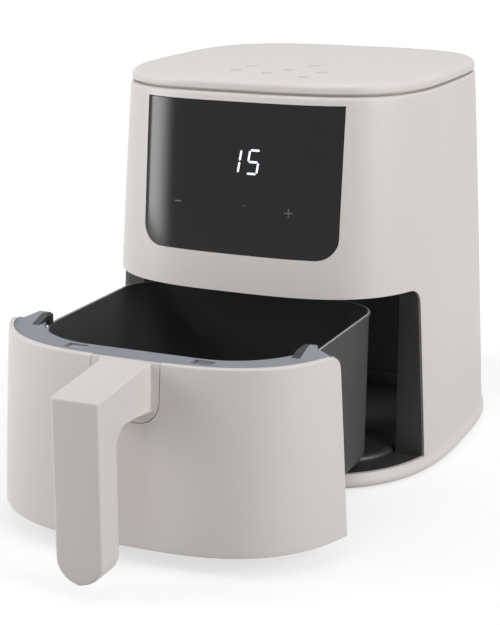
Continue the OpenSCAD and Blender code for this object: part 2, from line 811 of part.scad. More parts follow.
// Moulded frame between the drawer front and the pan, with skirt, ribs, lugs and clip windows
clip_x = 47;
clip_w = 15;
clip_y = 12;
clip_d = 9;
clip_z = rim_top - 6.8;
skirt_low = 58;
boss_w = plate_w + 10;
module drawer_frame() {
  inset = front_t + seat;
  back = front_back + 0.6;
  color(graphite) drawer_place() {
    difference() {
      intersection() {
        union() {
          body_sheet(frame_top - frame_t, frame_top, inset);
          // Skirt that hangs round the pan
          translate([0, 0, skirt_low]) linear_extrude(frame_top - skirt_low) pan_outline(3);
          // Boss block behind the handle plate
          intersection() {
            body_form(steps(front_top - plate_h - 4, frame_top, 2, inset));
            translate([-boss_w / 2, -base_d, 0]) cube([boss_w, base_d, base_d]);
          }
          // Ribs from the skirt to the front
          intersection() {
            body_form(steps(skirt_low, frame_top, 2, inset));
            for (x = [-72, 72]) translate([x - 1.2, -base_d, 0]) cube([2.4, base_d, base_d]);
          }
        }
        opening_prism(0, frame_top + over, back, 1);
      }
      // Space of the pan
      translate([0, 0, -over]) linear_extrude(base_d) pan_outline(0.7);
      for (x = [-clip_x, clip_x]) translate([x - clip_w / 2, -pan_front - clip_y, clip_z - 0.5]) {
        cube([clip_w, clip_d, 20]);
        cube([clip_w, clip_y + 3, 2.2]);
      }
      at_handle_screws() {
        cylinder(h = 60, d = 4.2);
        translate([0, 0, -over]) cylinder(h = 2.6 + over, d = 8.2);
      }
    }
    frame_lug();
    mirror([1, 0, 0]) frame_lug();
  }
}

// Ramp at each back end of the frame that guides the drawer home between the cavity's walls
lug_front = open_y + 16;
lug_back = open_y - 4;
lug_ramp = 15;
lug_in = pan_x + 0.2;
lug_out = cavity_x - 2;
module frame_lug() {
  foot = 9;
  intersection() {
    body_form(steps(frame_top - foot - over, frame_top + lug_h, 1, front_t + 0.6));
    translate([0, 0, frame_top]) rotate([90, 0, 90]) linear_extrude(base_w)
      polygon([[-lug_front, -1.5], [-lug_front, 0], [lug_ramp - lug_front, lug_h],
        [-lug_back - 1, lug_h], [-lug_back, lug_h - 1], [-lug_back, -foot], [-lug_back - 4, -foot],
        [-lug_back - 8, -1.5]]);
    translate([0, 0, frame_top]) rotate([90, 0, 0]) {
      linear_extrude(lug_front + over)
        polygon([[lug_in, -foot], [lug_in, lug_h], [lug_out, lug_h], [lug_out, -foot]]);
      translate([0, 0, front_back]) linear_extrude(lug_front)
        polygon([[lug_in, -1.5], [lug_in, lug_h], [lug_out, lug_h], [lug_out + 10, 0],
          [lug_out + 10, -1.5]]);
    }
  }
}

// Heat-proof wedges clipped to the inner side of the ramps, over the pan's rim
module guide_wedges() {
  inner = pan_x - 5.5;
  outer = lug_in - seat;
  low = rim_top + 0.3 - frame_top;
  step = front_back - 0.2;
  color(black) drawer_place() for (s = [0, 1]) mirror([s, 0, 0]) translate([0, 0, frame_top])
    intersection() {
      rotate([90, 0, 90]) linear_extrude(base_w)
        polygon([[-lug_front, 0.1], [lug_ramp - lug_front, lug_h], [-lug_back - 1, lug_h],
          [-lug_back, lug_h - 1], [-lug_back, low], [-step, low], [-step, 0.1]]);
      rotate([90, 0, 0]) linear_extrude(lug_front + over)
        polygon([[inner, low - over], [inner, lug_h - 1.6], [inner + 2, lug_h], [outer, lug_h],
          [outer, low - over]]);
    }
}

// Screws of the handle, from the pan side through the boss into its plate
handle_screw_x = 14;
handle_screw_z = front_top - 22;
handle_screw_y = pan_front + 0.7;
handle_screw_l = front_y(handle_screw_z, handle_screw_x, front_t) + 1.6 - handle_screw_y;
module at_handle_screws() {
  for (x = [-handle_screw_x, handle_screw_x]) translate([x, -handle_screw_y, handle_screw_z])
    rotate([90, 0, 0]) children();
}

module handle_screws() {
  color(steel) drawer_place() at_handle_screws() {
    cylinder(h = 2.2, d = 7.6);
    cylinder(h = handle_screw_l, d = 3.9);
  }
}

// Deep non-stick pan with a turned rim and a rounded bottom edge
lip = 1.1;
module pan() {
  depth = rim_top - pan_low;
  turn = 12;
  function draft(z) = pan_draft * (rim_top - z) / depth;
  outer = concat([for (a = [0 : 22.5 : 90]) [pan_low + turn * (1 - cos(a)), turn * (1 - sin(a))]],
    [[rim_top - 5, 0]]);
  inner = concat([for (a = [0 : 22.5 : 90])
    [pan_low + pan_t + (turn - pan_t) * (1 - cos(a)), pan_t + (turn - pan_t) * (1 - sin(a))]],
    [[rim_top + over, pan_t]]);
  color(black) drawer_place() difference() {
    union() {
      loft([for (l = outer) pan_ring(l[1] + lip + draft(l[0]), l[0])]);
      loft([for (l = [[rim_top - 5, lip], [rim_top - 3.6, 0.3], [rim_top - 2.4, 0],
        [rim_top - 1, 0.2], [rim_top, 0.9]]) pan_ring(l[1], l[0])]);
    }
    loft([for (l = inner) pan_ring(l[1] + lip + draft(min(l[0], rim_top)), l[0])]);
  }
}

// Spring steel hooks welded to the pan: up through the frame's windows and bent forward
module pan_hooks() {
  t = 1.2;
  w = clip_w - 3;
  up = clip_y - clip_d + 1;
  top = frame_top - 0.8 - t;
  color(steel) drawer_place() for (x = [-clip_x, clip_x])
    translate([x - clip_w / 2 + 2.5, -pan_front - up, 0]) {
      translate([0, -t, clip_z]) cube([w, t, top - clip_z + t]);
      translate([0, -t, clip_z]) cube([w, up + t + lip, t]);
      translate([0, -t - clip_d + 3.2, top]) cube([w, clip_d - 3, t]);
    }
}

// Handle moulded in one with its flush plate: rings from the grip's end up to the neck's top
module handle() {
  face = front_y(front_top, 0, 0);
  top = front_top - 0.6;
  low = top - grip_len;
  half = grip_w / 2;
  edge = 2.6;
  turn = 14;
  fall = 6.5;
  y_face = -face - grip_out;
  y_back = y_face + grip_t;
  neck_z = top - neck_h;
  // Fall of the neck's top towards the grip's face
  function slope(y, z) = z > neck_z ? fall * (z - neck_z) / neck_h * (-face - y) / grip_out : 0;
  // Half width near the round end
  function end_w(z) = z < low + half ? sqrt(max(0, pow(half, 2) - pow(low + half - z, 2))) : half;
  // Back of the section: the grip's back, a quarter-round inner corner, then the neck's root
  function back_y(z) = z < neck_z - turn ? y_back
    : z < neck_z ? y_back + turn - sqrt(pow(turn, 2) - pow(z - neck_z + turn, 2)) : -front_y(z, 0, 1);
  // Signed radius of the back corners: convex on the grip, flared at the root
  function back_r(z) = z < neck_z ? 1 : -1;
  function section(z, w, inset) = let (
    yf = y_face + inset, yb = back_y(z), e = min(edge, w * 0.9) - 0.5 * min(inset, 3),
    s = back_r(z), rb = s > 0 ? e : 4, hw = w - inset,
    front = [for (i = [0 : 5]) let (a = 270 + 18 * i) [hw - e + e * cos(a), yf + e + e * sin(a)]],
    back = [for (i = [0 : 5]) let (a = 18 * i) [hw - s * rb + s * rb * cos(a), yb - rb + rb * sin(a)]],
    right = concat(front, back))
    concat([for (i = [11 : -1 : 0]) [-right[i].x, right[i].y, z - slope(right[i].y, z)]],
      [for (p = right) [p.x, p.y, z - slope(p.y, z)]]);
  end = [for (a = [80 : -16 : 0]) [low + half * (1 - sin(a)), 0]];
  straight = [[mix(low + half, neck_z - turn, 0.5), 0], [neck_z - turn, 0]];
  inner = [for (a = [18 : 18 : 72]) [neck_z - turn + turn * sin(a), 0]];
  upper = [[neck_z - 0.1, 0], [neck_z + 0.1, 0], [top - 2.4, 0], [top - 0.8, 0.6], [top, 2]];
  color(cream) drawer_place() {
    loft([for (l = concat(end, straight, inner, upper)) section(l[0], end_w(l[0]), l[1])]);
    difference() {
      intersection() {
        difference() {
          body_form(steps(front_top - plate_h, front_top - 0.4, 2, 0));
          body_form(steps(front_top - plate_h - over, front_top + over, 2, front_t));
        }
        plate_prism(0);
      }
      // Blind holes for the screws
      at_handle_screws() cylinder(h = handle_screw_l + 0.1, d = 4);
    }
  }
}

// ---------- crisper tray ----------

tray_z = pan_low + pan_t + tray_lift;
tray_t = 1.6;
tray_inset = lip + pan_t + pan_draft + 1.6;
module crisper_tray() {
  leg_x = pan_x - tray_inset - 30;
  leg_y = pan_len / 2 - tray_inset - 28;
  pitch = 17;
  color(graphite) drawer_place() translate([0, pan_cy, 0]) {
    difference() {
      translate([0, -pan_cy, tray_z]) linear_extrude(tray_t) pan_outline(-tray_inset);
      for (i = [-4 : 4], j = [-3 : 3])
        if (abs(i) + abs(j) > 1 && abs(i) + abs(j) < 7)
          translate([i * pitch, j * pitch, tray_z - over]) cylinder(h = 6, d = tray_hole, $fn = 20);
      translate([0, 0, tray_z - over]) cylinder(h = 6, d = 20);
    }
    for (x = [-leg_x, leg_x], y = [-leg_y, leg_y]) translate([x, y, pan_low + pan_t + 0.3])
      cylinder(h = tray_lift, d = 7);
  }
}

// Soft stops on the tray's edge that hold it in the pan
module tray_bumpers() {
  hx = pan_x - tray_inset;
  color(black) drawer_place() for (s = [0, 1], y = [-24, 24]) mirror([s, 0, 0])
    translate([hx, pan_cy + y, tray_z - 2]) difference() {
      translate([-3, -6, 0]) cube([4.2, 12, 5.6]);
      translate([-4, -8, 2]) cube([4, 16, tray_t]);
    }
}

housing_shell();
base_plate();
feet();
base_screws();
top_lid();
lid_ring();
touch_board();
display_glass();
display_frame();
led_module();
control_board();
power_board();
cavity_floor();
cavity_liner();
cavity_deck();
reflector();
heating_element();
element_guard();
temperature_probe();
thermal_fuse();
fan_motor();
motor_bracket();
motor_screws();
motor_shaft();
convection_fan();
cooling_fan();
fan_nut();
rear_grille();
cord_gland();
drawer_switch();
switch_plunger();
drawer_front();
drawer_frame();
guide_wedges();
pan();
pan_hooks();
handle();
handle_screws();
crisper_tray();
tray_bumpers();
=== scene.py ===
import math

import bmesh
import bpy
import numpy as np
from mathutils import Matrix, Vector


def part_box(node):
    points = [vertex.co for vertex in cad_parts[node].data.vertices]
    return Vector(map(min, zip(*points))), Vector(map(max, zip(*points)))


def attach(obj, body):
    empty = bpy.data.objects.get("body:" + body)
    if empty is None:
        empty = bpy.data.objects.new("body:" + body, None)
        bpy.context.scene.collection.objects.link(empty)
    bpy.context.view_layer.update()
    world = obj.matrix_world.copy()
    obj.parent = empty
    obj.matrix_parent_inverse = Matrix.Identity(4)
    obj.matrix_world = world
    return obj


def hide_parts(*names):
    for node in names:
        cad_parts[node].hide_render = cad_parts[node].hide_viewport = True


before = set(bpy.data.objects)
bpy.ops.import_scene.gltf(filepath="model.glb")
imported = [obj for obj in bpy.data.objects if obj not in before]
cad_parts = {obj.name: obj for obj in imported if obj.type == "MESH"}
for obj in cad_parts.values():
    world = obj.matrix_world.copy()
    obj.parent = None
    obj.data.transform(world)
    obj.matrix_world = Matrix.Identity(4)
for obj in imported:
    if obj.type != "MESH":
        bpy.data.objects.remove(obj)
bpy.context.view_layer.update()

# ---------------------------------------------------------------------------------------------
# Camera: a three-quarter view from the front right, a little above the open drawer. The pieces
# are written in millimetres about the middle of the housing, and the camera and lamps in metres.

MM = 0.001
HOUSE_Y = 500 * (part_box("housing_shell")[0].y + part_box("housing_shell")[1].y)
camera = bpy.data.objects.new("camera", bpy.data.cameras.new("camera"))
bpy.context.collection.objects.link(camera)
camera.location = (0.4662, HOUSE_Y * MM - 1.1709, 0.4432)
camera.rotation_euler = Vector((-0.3886, 0.8814, -0.2684)).to_track_quat("-Z", "Y").to_euler()
camera.data.lens = 90.67
camera.data.sensor_width = 36
bpy.context.scene.camera = camera

# ---------------------------------------------------------------------------------------------
# Housing shell: one moulding in satin cream plastic, 2.6 mm thick. Its plan is a superellipse
# that gets smaller and squarer towards the top, and the drawer opening wraps round its front.

BODY = {"foot_z": 1.4, "top_z": 290.2, "base_x": 139.0, "top_x": 122.0, "base_y": 157.0,
        "top_y": 131.0, "belly": 2.5, "base_n": 2.9, "top_n": 3.4}
OPENING = {"low": 12.8, "top": 145.4, "edge_y": 80.0, "corner": 11.0}
SHELL = {"wall": 2.6, "shoulder": 2.4, "ledge": 16.0, "turn_z": 5.2, "turn_h": 3.8, "turn_w": 3.4,
         "flare": 1.48, "flare_h": 8.8}
WINDOW = {"half": 78.5, "low": 173.2, "top": 284.2, "corner": 16.0}
OUTLET = {"half": 52, "low": 173.4, "top": 219.4}
GLAND = {"x": 60, "z": 40, "radius": 6.5}
THROUGH_FRONT = (-170, -60)
THROUGH_BACK = (80, 170)


def plan(z):
    """Half width, half depth and roundness exponent of the housing's plan at height z. All three
    change in a straight line from foot to top, and the half depth also bows out by a parabola
    that is belly high at half height."""
    rise = (np.asarray(z, float) - BODY["foot_z"]) / (BODY["top_z"] - BODY["foot_z"])
    half_x = BODY["base_x"] + (BODY["top_x"] - BODY["base_x"]) * rise
    half_y = BODY["base_y"] + (BODY["top_y"] - BODY["base_y"]) * rise
    half_y = half_y + 4 * BODY["belly"] * rise * (1 - rise)
    return half_x, half_y, BODY["base_n"] + (BODY["top_n"] - BODY["base_n"]) * rise


def plan_point(angle, z, inset, plan_z=None):
    """Point of the superellipse |x/a|^n + |y/b|^n = 1 seen from its centre at that angle, with
    both half axes made smaller by inset. plan_z is the height whose plan is used."""
    half_x, half_y, n = plan(z if plan_z is None else plan_z)
    cosine, sine = np.cos(angle), np.sin(angle)
    reach = (np.abs(cosine / (half_x - inset)) ** n + np.abs(sine / (half_y - inset)) ** n)
    reach = reach ** (-1 / n)
    return np.stack([reach * cosine, reach * sine, np.broadcast_to(z, reach.shape)], -1)


def front_angle(depth, z, inset=0.0):
    """Angle below the X axis at which the plan at height z lies depth in front of the centre:
    its half width there is a (1 - (depth / b)^n)^(1 / n)."""
    half_x, half_y, n = plan(z)
    side = (half_x - inset) * (1 - (depth / (half_y - inset)) ** n) ** (1 / n)
    return np.arctan2(depth, side)


def grid_faces(keep, start=0, wrap_rows=False, wrap_cols=False):
    """Corner numbers of the quads of a grid of points, one quad wherever keep is true."""
    rows = keep.shape[0] + (0 if wrap_rows else 1)
    cols = keep.shape[1] + (0 if wrap_cols else 1)
    i, j = np.nonzero(keep)
    i2, j2 = (i + 1) % rows, (j + 1) % cols
    return start + np.stack([i * cols + j, i * cols + j2, i2 * cols + j2, i2 * cols + j], -1)


def new_piece(name, points, faces, body, smooth=40.0):
    """Object made from points in millimetres about the housing's middle and lists of faces.
    Points that no face uses are dropped, the normals face outward, and edges sharper than
    smooth degrees stay sharp."""
    groups = [np.asarray(f) for f in faces if len(f)]
    used = np.unique(np.concatenate([g.ravel() for g in groups]))
    order = np.full(len(points), -1)
    order[used] = np.arange(len(used))
    mesh = bpy.data.meshes.new(name)
    mesh.from_pydata(((np.asarray(points)[used] + [0, HOUSE_Y, 0]) * MM).tolist(), [],
                     [list(face) for g in groups for face in order[g].tolist()])
    mesh.validate()
    shape = bmesh.new()
    shape.from_mesh(mesh)
    bmesh.ops.remove_doubles(shape, verts=shape.verts, dist=1e-7)
    bmesh.ops.recalc_face_normals(shape, faces=shape.faces)
    shape.to_mesh(mesh)
    shape.free()
    mesh.shade_smooth()
    mesh.set_sharp_from_angle(angle=math.radians(smooth))
    piece = bpy.data.objects.new(name, mesh)
    bpy.context.collection.objects.link(piece)
    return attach(piece, body)


def soften(piece, width, segments=2, angle=50):
    """Small rounded edge, width in millimetres, on every edge sharper than angle degrees."""
    bevel = piece.modifiers.new("edge", "BEVEL")
    bevel.width, bevel.segments = width * MM, segments
    bevel.limit_method, bevel.angle_limit = "ANGLE", math.radians(angle)
    bevel.harden_normals = True
    bevel.use_clamp_overlap = True
    return piece


def cut(piece, points, faces):
    """Takes the closed form, given as new_piece takes it, out of the piece for good."""
    cutter = bpy.data.objects.new("cutter", bpy.data.meshes.new("cutter"))
    cutter.data.from_pydata(((np.asarray(points) + [0, HOUSE_Y, 0]) * MM).tolist(), [], faces)
    bpy.context.collection.objects.link(cutter)
    cutter.data.update()
    shape = bmesh.new()
    shape.from_mesh(cutter.data)
    bmesh.ops.recalc_face_normals(shape, faces=shape.faces)
    shape.to_mesh(cutter.data)
    shape.free()
    boolean = piece.modifiers.new("cut", "BOOLEAN")
    boolean.operation, boolean.object, boolean.solver = "DIFFERENCE", cutter, "EXACT"
    graph = bpy.context.evaluated_depsgraph_get()
    result = bpy.data.meshes.new_from_object(piece.evaluated_get(graph))
    piece.modifiers.clear()
    old = piece.data
    piece.data = result
    result.name = piece.name
    bpy.data.meshes.remove(old)
    bpy.data.objects.remove(cutter)
    return piece


def prism(outline, front_y, back_y):
    """Straight prism along Y between two depths, on an outline of (x, z) points."""
    x, z = np.asarray(outline, float).T
    count = len(x)
    points = np.concatenate([np.stack([x, np.full(count, y), z], -1) for y in (front_y, back_y)])
    index = list(range(count))
    sides = [[i, (i + 1) % count, count + (i + 1) % count, count + i] for i in index]
    return points, [index, [count + i for i in index], *sides]


def opening_depth(z):
    """How far in front of the centre the opening's side edge runs at height z: straight up, then
    forward round the corner's quarter circle."""
    above = np.clip(z - (OPENING["top"] - OPENING["corner"]), 0, OPENING["corner"])
    return OPENING["edge_y"] + OPENING["corner"] - np.sqrt(OPENING["corner"] ** 2 - above ** 2)


def foot_inset(z):
    """Inset of the shell near the table: a rounded lower edge, the quarter ellipse with its
    centre at turn_z, less a flare that fades as half a cosine wave over flare_h above that."""
    low = np.clip((SHELL["turn_z"] - z) / SHELL["turn_h"], 0, 1)
    fade = 0.5 + 0.5 * np.cos(math.pi * np.clip((z - SHELL["turn_z"]) / SHELL["flare_h"], 0, 1))
    return SHELL["turn_w"] * (1 - np.sqrt(1 - low ** 2)) - SHELL["flare"] * fade


turn = np.linspace(0, math.pi / 2, 7)
corner_z = OPENING["top"] - OPENING["corner"]
shoulder_z = BODY["top_z"] - SHELL["shoulder"]
heights = np.concatenate([
    SHELL["turn_z"] - SHELL["turn_h"] * np.cos(turn),
    np.linspace(SHELL["turn_z"], OPENING["low"], 7)[1:],
    np.linspace(OPENING["low"], corner_z, 26)[1:],
    corner_z + OPENING["corner"] * np.sin(turn[1:]),
    np.linspace(OPENING["top"], shoulder_z, 28)[1:],
    shoulder_z + SHELL["shoulder"] * np.sin(turn[1:])])
insets = foot_inset(heights)
insets[1 - len(turn):] = SHELL["shoulder"] * (1 - np.cos(turn[1:]))
theta = front_angle(opening_depth(heights), heights)
back = np.linspace(0, 1, 201)
front = np.linspace(0, 1, 97)[1:-1]
side_col = len(back) - 1
angles = np.concatenate([-theta[:, None] + back * (math.pi + 2 * theta)[:, None],
                         math.pi + theta[:, None] + front * (math.pi - 2 * theta)[:, None]], 1)
outer = plan_point(angles, heights[:, None], insets[:, None])
ledge_low = BODY["top_z"] - SHELL["wall"]
inner = plan_point(angles, np.clip(heights, None, ledge_low)[:, None], SHELL["wall"],
                   heights[:, None])
ledge = [plan_point(angles[-1], z, SHELL["ledge"])[None] for z in (BODY["top_z"], ledge_low)]
rows = np.concatenate([outer, *ledge, inner[::-1]])
count_rows, count_cols = rows.shape[:2]
keep = np.ones((count_rows, count_cols), bool)
low_row = int(np.argmin(np.abs(heights - OPENING["low"])))
top_row = int(np.argmin(np.abs(heights - OPENING["top"])))
keep[low_row:top_row, side_col:] = False
keep[count_rows - 1 - top_row:count_rows - 1 - low_row, side_col:] = False


def inner_row(row):
    """Number of the inner wall's row behind that row of the outer wall."""
    return count_rows - 1 - row


def rim(cells):
    """Quads that join the outer wall to the inner one along a chain of (row, column) places."""
    chain = [(r * count_cols + c % count_cols, inner_row(r) * count_cols + c % count_cols)
             for r, c in cells]
    return [[a[0], b[0], b[1], a[1]] for a, b in zip(chain, chain[1:])]


edge = ([(low_row, c) for c in range(count_cols, side_col - 1, -1)]
        + [(r, side_col) for r in range(low_row + 1, top_row + 1)]
        + [(top_row, c) for c in range(side_col + 1, count_cols + 1)]
        + [(r, 0) for r in range(top_row - 1, low_row - 1, -1)])
shell = new_piece("shell_skin", rows.reshape(-1, 3),
                  [grid_faces(keep, wrap_rows=True, wrap_cols=True), rim(edge)], "housing")


def arch(half, low, top, corner):
    """Outline with a straight top and two round lower corners, as (x, z) points."""
    arc = np.linspace(0, math.pi / 2, 13)
    right = np.stack([half - corner + corner * np.sin(arc), low + corner - corner * np.cos(arc)],
                     -1)
    return np.concatenate([[[half, top], [-half, top]], right[::-1] * [-1, 1], right])


def rectangle(half, low, top):
    """Outline of an upright rectangle about the middle, as (x, z) points."""
    return [(-half, low), (half, low), (half, top), (-half, top)]


cut(shell, *prism(arch(**WINDOW), *THROUGH_FRONT))
cut(shell, *prism(rectangle(**OUTLET), *THROUGH_BACK))
around = np.linspace(0, 2 * math.pi, 48, endpoint=False)
gland_hole = np.stack([GLAND["x"] + GLAND["radius"] * np.cos(around),
                       GLAND["z"] + GLAND["radius"] * np.sin(around)], -1)
cut(shell, *prism(gland_hole, *THROUGH_BACK))
soften(shell, 0.5)
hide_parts("housing_shell")


def group_socket(group, name, direction, default=None, kind="NodeSocketFloat"):
    """Adds a named input or output to a shader node group."""
    socket = group.interface.new_socket(name, in_out=direction, socket_type=kind)
    if default is not None:
        socket.default_value = default


surface = bpy.data.node_groups.new("surface_grain", "ShaderNodeTree")
group_socket(surface, "Colour", "INPUT", (0.8, 0.8, 0.8, 1), "NodeSocketColor")
group_socket(surface, "Shade", "INPUT", 0.04)
group_socket(surface, "Roughness", "INPUT", 0.5)
group_socket(surface, "Spread", "INPUT", 0.05)
group_socket(surface, "Grain", "INPUT", 900.0)
group_socket(surface, "Stretch", "INPUT", (1, 1, 1), "NodeSocketVector")
group_socket(surface, "Colour", "OUTPUT", kind="NodeSocketColor")
group_socket(surface, "Roughness", "OUTPUT")
group_socket(surface, "Height", "OUTPUT")
nodes, links = surface.nodes, surface.links
g_in, g_out = nodes.new("NodeGroupInput"), nodes.new("NodeGroupOutput")
place = nodes.new("ShaderNodeTexCoord")
stretch = nodes.new("ShaderNodeVectorMath")
stretch.operation = "MULTIPLY"
links.new(place.outputs["Object"], stretch.inputs[0])
links.new(g_in.outputs["Stretch"], stretch.inputs[1])
fine = nodes.new("ShaderNodeTexNoise")
fine.inputs["Detail"].default_value = 3
links.new(stretch.outputs[0], fine.inputs["Vector"])
links.new(g_in.outputs["Grain"], fine.inputs["Scale"])
broad = nodes.new("ShaderNodeTexNoise")
broad.inputs["Scale"].default_value = 14
broad.inputs["Detail"].default_value = 4
links.new(stretch.outputs[0], broad.inputs["Vector"])
both = nodes.new("ShaderNodeMath")
both.operation = "ADD"
links.new(fine.outputs["Fac"], both.inputs[0])
links.new(broad.outputs["Fac"], both.inputs[1])
# Each noise is about 0.5 on average, so the sum of both less 1 varies about nought.
centred = nodes.new("ShaderNodeMath")
centred.operation = "SUBTRACT"
centred.inputs[1].default_value = 1.0
links.new(both.outputs[0], centred.inputs[0])
shade = nodes.new("ShaderNodeMath")
shade.operation = "MULTIPLY_ADD"
shade.inputs[2].default_value = 1.0
links.new(centred.outputs[0], shade.inputs[0])
links.new(g_in.outputs["Shade"], shade.inputs[1])
tint = nodes.new("ShaderNodeVectorMath")
tint.operation = "SCALE"
links.new(g_in.outputs["Colour"], tint.inputs[0])
links.new(shade.outputs[0], tint.inputs["Scale"])
rough = nodes.new("ShaderNodeMath")
rough.operation = "MULTIPLY_ADD"
links.new(centred.outputs[0], rough.inputs[0])
links.new(g_in.outputs["Spread"], rough.inputs[1])
links.new(g_in.outputs["Roughness"], rough.inputs[2])
links.new(tint.outputs[0], g_out.inputs["Colour"])
links.new(rough.outputs[0], g_out.inputs["Roughness"])
links.new(fine.outputs["Fac"], g_out.inputs["Height"])


def finish(name, colour, roughness, grain=900.0, lift=0.02, shade=0.04, spread=0.06,
           stretch=(1, 1, 1), **shader):
    """Material whose colour, roughness and height vary with the surface_grain group: the colour
    by 1 + shade times the noise, the roughness by spread times it. lift is the height of the
    grain in millimetres, and shader holds values of the Principled BSDF."""
    material = bpy.data.materials.new(name)
    material.use_nodes = True
    material.diffuse_color = (*colour, 1)
    tree = material.node_tree
    principled = tree.nodes["Principled BSDF"]
    grainy = tree.nodes.new("ShaderNodeGroup")
    grainy.node_tree = surface
    for socket, value in {"Colour": (*colour, 1), "Shade": shade, "Roughness": roughness,
                          "Spread": spread, "Grain": grain, "Stretch": stretch}.items():
        grainy.inputs[socket].default_value = value
    bump = tree.nodes.new("ShaderNodeBump")
    bump.inputs["Strength"].default_value = 1.0
    bump.inputs["Distance"].default_value = lift * MM
    tree.links.new(grainy.outputs["Colour"], principled.inputs["Base Color"])
    tree.links.new(grainy.outputs["Roughness"], principled.inputs["Roughness"])
    tree.links.new(grainy.outputs["Height"], bump.inputs["Height"])
    tree.links.new(bump.outputs["Normal"], principled.inputs["Normal"])
    for socket, value in shader.items():
        principled.inputs[socket.replace("_", " ")].default_value = value
    return material


def dress(material, *pieces):
    """Gives the material to new pieces, and to CAD nodes by their names."""
    for piece in pieces:
        if isinstance(piece, str):
            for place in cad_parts[piece].material_slots:
                place.material = material
        else:
            piece.data.materials.clear()
            piece.data.materials.append(material)


cream = finish("cream_plastic", (0.66, 0.625, 0.602), 0.44, grain=1600, lift=0.004, shade=0.02)
dress(cream, shell)

# ---------------------------------------------------------------------------------------------
# Foot of the housing: a slotted base plate with posts for the cavity's floor, held by four
# countersunk screws, on four rubber feet pressed into it.

cream_inner = finish("cream_inner_plastic", (0.56, 0.52, 0.48), 0.55, grain=1200, lift=0.008)
rubber = finish("black_rubber", (0.022, 0.022, 0.023), 0.78, grain=2200, lift=0.03, spread=0.1)
steel = finish("plain_steel", (0.56, 0.56, 0.58), 0.30, grain=2600, lift=0.003, Metallic=1.0)
dress(cream_inner, "base_plate")
dress(rubber, "feet")
dress(steel, "base_screws")

# ---------------------------------------------------------------------------------------------
# Lid: a flat moulding in the same cream plastic with a soft rounded rim, clipped onto a recessed
# ring so that a narrow shadow groove runs all round. Seven faint touch marks are printed on it.

LID = {"low": 292.0, "top": 299.98, "inset": 0.8, "under_r": 0.8, "rim_r": 4.6}
FLAT_RINGS = (30, 8)
PRINT = {"raise_mm": 0.02, "thick": 0.2}
MARK = {"radius": 4.0, "half": 0.45, "dash": 2.2, "dash_half": 0.5, "gap": 20}
MARK_PLACES = [(-27, -78), (-26, -49), (2, -86), (10, -62), (36, -97), (39, -66), (18, -30)]


def rounded_rim(low, top, under_r, rim_r, steps=8):
    """(height, inset) pairs of a slab's edge: a quarter circle below, a straight band, and a
    quarter ellipse above that is 1.2 times as wide as high."""
    t = np.linspace(0, math.pi / 2, steps)
    under = np.stack([low + under_r * (1 - np.cos(t)), under_r * (1 - np.sin(t))], -1)
    over = np.stack([top - rim_r * (1 - np.sin(t)), 1.2 * rim_r * (1 - np.cos(t))], -1)
    return np.concatenate([under, over])


def closed_stack(rings):
    """Closed solid through a stack of rings, an array of ring by point by xyz: quads between the
    rings, and one flat face on the first ring and one on the last."""
    rows, cols = rings.shape[:2]
    sides = grid_faces(np.ones((rows - 1, cols), bool), wrap_cols=True)
    return rings.reshape(-1, 3), [sides, [np.arange(cols)], [(rows - 1) * cols + np.arange(cols)]]


around = np.linspace(0, 2 * math.pi, 240, endpoint=False)
profile = np.concatenate([[(LID["low"], inset) for inset in FLAT_RINGS],
                          rounded_rim(LID["low"], LID["top"], LID["under_r"], LID["rim_r"]),
                          [(LID["top"], inset) for inset in FLAT_RINGS[::-1]]])
rings = plan_point(around, profile[:, :1], profile[:, 1:] + LID["inset"], BODY["top_z"])
lid = new_piece("lid_skin", *closed_stack(rings), "housing")
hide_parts("top_lid")
dress(cream, lid)
dress(finish("ring_plastic", (0.84, 0.77, 0.71), 0.5, grain=1600, lift=0.004), "lid_ring")


def thin_bar(start, end, half):
    """Corners of a flat bar with pointed ends between two (u, v) points: a long hexagon."""
    start, end = np.asarray(start, float), np.asarray(end, float)
    along = (end - start) / np.linalg.norm(end - start)
    across = np.array([-along[1], along[0]])
    return np.stack([start, start + half * (along + across), end - half * (along - across), end,
                     end - half * (along + across), start + half * (along - across)])


def chips(outlines, sheet, raise_mm, thick):
    """Thin solids on a surface, one for each outline of (u, v) points: the outline raised a
    little over the surface, and again thick below that. sheet places (u, v, height) in space."""
    points, faces = [], []
    for outline in outlines:
        start, count = sum(len(p) for p in points), len(outline)
        index = np.arange(count)
        u, v = np.asarray(outline, float).T
        points.append(sheet(u, v, raise_mm))
        points.append(sheet(u, v, raise_mm - thick))
        ahead = np.roll(index, -1)
        faces += [[start + index], [start + count + index],
                  start + np.stack([index, ahead, ahead + count, index + count], -1)]
    return np.concatenate(points), faces


def on_lid(x, y, height):
    """Points over the lid's flat top."""
    return np.stack([x, y, np.full(len(x), LID["top"] + height)], -1)


def ring_arc(x, y, radius, turn_from, turn_to, half):
    """Outline of a curved stroke: an arc of a ring between two angles in degrees."""
    t = np.radians(np.linspace(turn_from, turn_to, 17))
    outer = np.stack([x + (radius + half) * np.cos(t), y + (radius + half) * np.sin(t)], -1)
    inner = np.stack([x + (radius - half) * np.cos(t), y + (radius - half) * np.sin(t)], -1)
    return np.concatenate([outer, inner[::-1]])


touch_ink = finish("touch_ink", (0.27, 0.255, 0.25), 0.6, grain=2500, shade=0.1)
strokes = []
for x, y in MARK_PLACES:
    strokes += [ring_arc(x, y, MARK["radius"], MARK["gap"], 360 - MARK["gap"], MARK["half"]),
                thin_bar((x - MARK["dash"], y), (x + MARK["dash"], y), MARK["dash_half"])]
marks = new_piece("lid_marks", *chips(strokes, on_lid, **PRINT), "housing")
dress(touch_ink, marks)
dress(finish("circuit_board", (0.03, 0.13, 0.06), 0.45, grain=700, lift=0.02, shade=0.5),
      "touch_board", "control_board", "power_board")

# ---------------------------------------------------------------------------------------------
# Display: a bent slab of black glass, flush in the shell's window with a narrow gap round it, held
# by a black carrier. The lit digits of the module behind it show through, with dim touch signs.

